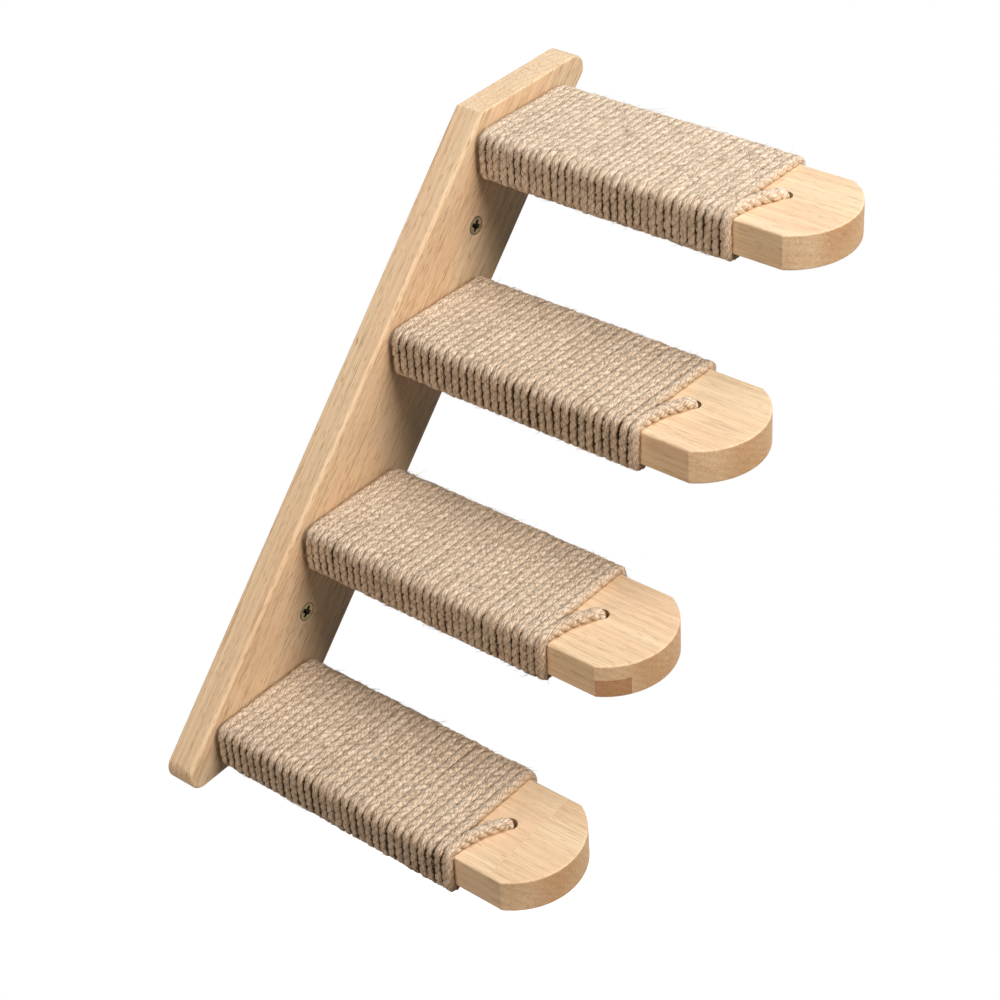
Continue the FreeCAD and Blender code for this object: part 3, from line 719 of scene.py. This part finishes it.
# Screws: countersunk, with a cross recess, a smooth neck in the board and a thread beyond it
def screw_recess(across, up, width):
    """Depth of the cross recess at places on a head of this width."""
    long = RECESS_LONG * width
    narrow = RECESS_NARROW * width
    arms = []
    for first, second in ((across, up), (up, across)):
        along = np.clip((long - np.abs(first)) / (ARM_END_SLOPE * long), 0, 1)
        beside = np.clip((ARM_HALF * narrow - np.abs(second)) / (ARM_SIDE_SLOPE * narrow), 0, 1)
        arms.append(along * beside)
    return RECESS_DEEP * width * np.maximum(arms[0], arms[1])


def make_screw(node, inward, board_depth, thread_width, cross_turn, finish):
    low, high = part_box(node)
    middle = Vector(((low.x + high.x) / 2, low.y if inward > 0 else high.y, (low.z + high.z) / 2))
    head_radius = (high.x - low.x) / 2
    length = high.y - low.y
    radius = thread_width / 2
    neck = NECK_SHARE * radius
    turns = np.arange(SPOKES) / SPOKES * 2 * math.pi
    across, up = np.cos(turns + cross_turn), np.sin(turns + cross_turn)

    # From the middle of the recess out to the rim, then down the cone and the neck
    rings = []
    painted_shade = []
    for share in np.linspace(*HEAD_SHARES, HEAD_RINGS):
        reach = head_radius * share
        sink = screw_recess(reach * across, reach * up, 2 * head_radius)
        rings.append((np.full(SPOKES, reach), sink + HEAD_DOME * share ** 2))
        # Painted shadow on the outer rings of the head, and painted shade in the recess by its depth
        rim_shade = RIM_SHADE * np.clip((share - RIM_SHADE_START) / RIM_SHADE_FADE, 0, 1)
        painted_shade.append(np.maximum(np.clip(sink / RECESS_SHADE_DEPTH, 0, 1), rim_shade))
    painted_shade += [np.full(SPOKES, RIM_SHADE)] * 2
    rim = HEAD_RIM + HEAD_DOME
    cone_end = rim + head_radius - neck
    neck_end = board_depth - NECK_END
    plain = ((head_radius, rim * RIM_TOP), (head_radius, rim), (neck, cone_end), (neck, neck_end))
    rings += [(np.full(SPOKES, reach), np.full(SPOKES, depth)) for reach, depth in plain]

    # The thread, which runs out over the point
    for depth in np.arange(board_depth, length - POINT_CUT, THREAD_STEP):
        point = min(1.0, (length - depth) / (POINT_SHARE * thread_width))
        phase = (depth / THREAD_PITCH - turns / (2 * math.pi)) % 1
        crest = np.clip(1 - np.abs(phase - 0.5) / THREAD_SLOPE, 0, 1)
        reach = radius * (THREAD_ROOT + (1 - THREAD_ROOT) * crest) * point
        rings.append((reach, np.full(SPOKES, depth)))
    places = np.array([
        np.stack((reach * np.cos(turns), inward * depth, reach * np.sin(turns)), 1)
        for reach, depth in rings
    ]) + np.array(middle)
    points = places.reshape(-1, 3).tolist()
    faces = []
    for ring in range(len(places) - 1):
        for spoke in range(SPOKES):
            beside = (spoke + 1) % SPOKES
            here, there = ring * SPOKES, (ring + 1) * SPOKES
            faces.append((here + spoke, here + beside, there + beside, there + spoke))
    last = (len(places) - 1) * SPOKES
    faces.append(tuple(range(SPOKES))[::-1])
    faces.append(tuple(last + spoke for spoke in range(SPOKES)))
    if inward > 0:
        faces = [face[::-1] for face in faces]
    mesh = bpy.data.meshes.new("threaded_" + node)
    mesh.from_pydata(points, [], faces)
    shares = np.zeros((len(points), 2))
    shares[:len(painted_shade) * SPOKES, 0] = np.concatenate(painted_shade)
    corners = np.zeros(len(mesh.loops), dtype=np.int32)
    mesh.loops.foreach_get("vertex_index", corners)
    mesh.uv_layers.new(name="recess_depth")
    mesh.uv_layers["recess_depth"].data.foreach_set("uv", shares[corners].ravel())
    mesh.shade_smooth()
    mesh.set_sharp_from_angle(angle=SHARP_EDGE)
    mesh.materials.append(finish)
    screw = bpy.data.objects.new("threaded_" + node, mesh)
    bpy.context.scene.collection.objects.link(screw)
    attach(screw, "root")
    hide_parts(node)


# Floor, background and lamps
def add_lamp(name, place, width, power, colour):
    data = bpy.data.lights.new(name, "AREA")
    data.shape = "DISK"
    data.size = width
    data.energy = power
    data.color = colour
    lamp = bpy.data.objects.new(name, data)
    lamp.location = place
    lamp.rotation_mode = "QUATERNION"
    lamp.rotation_quaternion = (Vector(LAMP_TARGET) - Vector(place)).to_track_quat("-Z", "Y")
    bpy.context.scene.collection.objects.link(lamp)


def plain_white_seen(tree):
    """1 where the camera, a reflection or glass looks straight at the background, else 0."""
    rays = add_node(tree, "ShaderNodeLightPath").outputs
    seen = math_node(tree, "MAXIMUM", rays["Is Camera Ray"], rays["Is Glossy Ray"])
    return math_node(tree, "MAXIMUM", seen, rays["Is Transmission Ray"])


def make_stage():
    world = bpy.data.worlds.new("white_room")
    world.use_nodes = True
    bpy.context.scene.world = world
    tree = world.node_tree
    tree.nodes.clear()
    room = {"Color": ROOM_LIGHT, "Strength": ROOM_STRENGTH}
    room = add_node(tree, "ShaderNodeBackground", room).outputs[0]
    white = add_node(tree, "ShaderNodeBackground", {"Color": WHITE, "Strength": 1.0}).outputs[0]
    mixed = add_node(tree, "ShaderNodeMixShader", {0: plain_white_seen(tree), 1: room, 2: white}).outputs[0]
    tree.links.new(mixed, add_node(tree, "ShaderNodeOutputWorld").inputs["Surface"])

    material, tree, shader = new_material("pale_floor")
    shader.inputs["Base Color"].default_value = FLOOR_COLOUR
    shader.inputs["Roughness"].default_value = FLOOR_ROUGHNESS
    seen = math_node(tree, "MULTIPLY", plain_white_seen(tree), FLOOR_GLOW)
    glow = add_node(tree, "ShaderNodeEmission", {"Color": WHITE, "Strength": seen}).outputs[0]
    lit = add_node(tree, "ShaderNodeAddShader", {0: shader.outputs[0], 1: glow}).outputs[0]
    tree.links.new(lit, tree.nodes["Material Output"].inputs["Surface"])
    height = cad_low.z - FLOOR_BELOW
    corners = ((-1, -1), (1, -1), (1, 1), (-1, 1))
    mesh = bpy.data.meshes.new("floor")
    mesh.from_pydata([(FLOOR_HALF * x, FLOOR_HALF * y, height) for x, y in corners], [], [(0, 1, 2, 3)])
    mesh.materials.append(material)
    floor = bpy.data.objects.new("floor", mesh)
    bpy.context.scene.collection.objects.link(floor)
    floor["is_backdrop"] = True

    for lamp in LAMPS:
        add_lamp(*lamp)
    bpy.context.scene.view_settings.view_transform = "Standard"


def dress(node, wood):
    """Gives a solid of the frame its wood."""
    nodes[node].data.materials.clear()
    nodes[node].data.materials.append(wood)


make_camera()
grain = make_grain_group()
dress("backboard", make_wood(
    "board_wood", grain, BOARD_WAYS, BOARD_SHIFT, BOARD_BLOCK, BOARD_CONTRAST, BOARD_PORES,
))
for step in STEPS:
    low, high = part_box("step_plank_%d" % step)
    middle = (low + high) / 2
    heart = None
    if step == HEART_STEP:
        wide, deep, over = HEART_SIZE
        heart = ((low.x, low.y, low.z), (low.x + wide, low.y + deep, middle.z + over))
    along, across, through = PLANK_SHIFT
    shift = (along * step - middle.y, across * step - middle.x, through * step - middle.z)
    dress("step_plank_%d" % step, make_wood(
        "step_wood_%d" % step, grain, PLANK_WAYS, shift, PLANK_BLOCK, PLANK_CONTRAST, PLANK_PORES, heart,
    ))
jute = make_jute()
for step, turns in zip(STEPS, ROPE_TURNS):
    make_rope(step, turns, jute)
zinc = make_zinc()
board_low, board_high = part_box("backboard")
for name, cross_turn in WALL_SCREWS:
    head_depth = board_high.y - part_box(name)[0].y
    make_screw(name, 1, head_depth, WALL_THREAD, cross_turn, zinc)
for step in STEPS:
    for number, side in enumerate(("left", "right")):
        name = "step_screw_%d_%s" % (step, side)
        head_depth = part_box(name)[1].y - board_low.y
        cross_turn = CROSS_TURN_BY_STEP * step + CROSS_TURN_BY_SIDE * number
        make_screw(name, -1, head_depth, STEP_THREAD, cross_turn, zinc)
make_stage()

low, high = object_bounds()
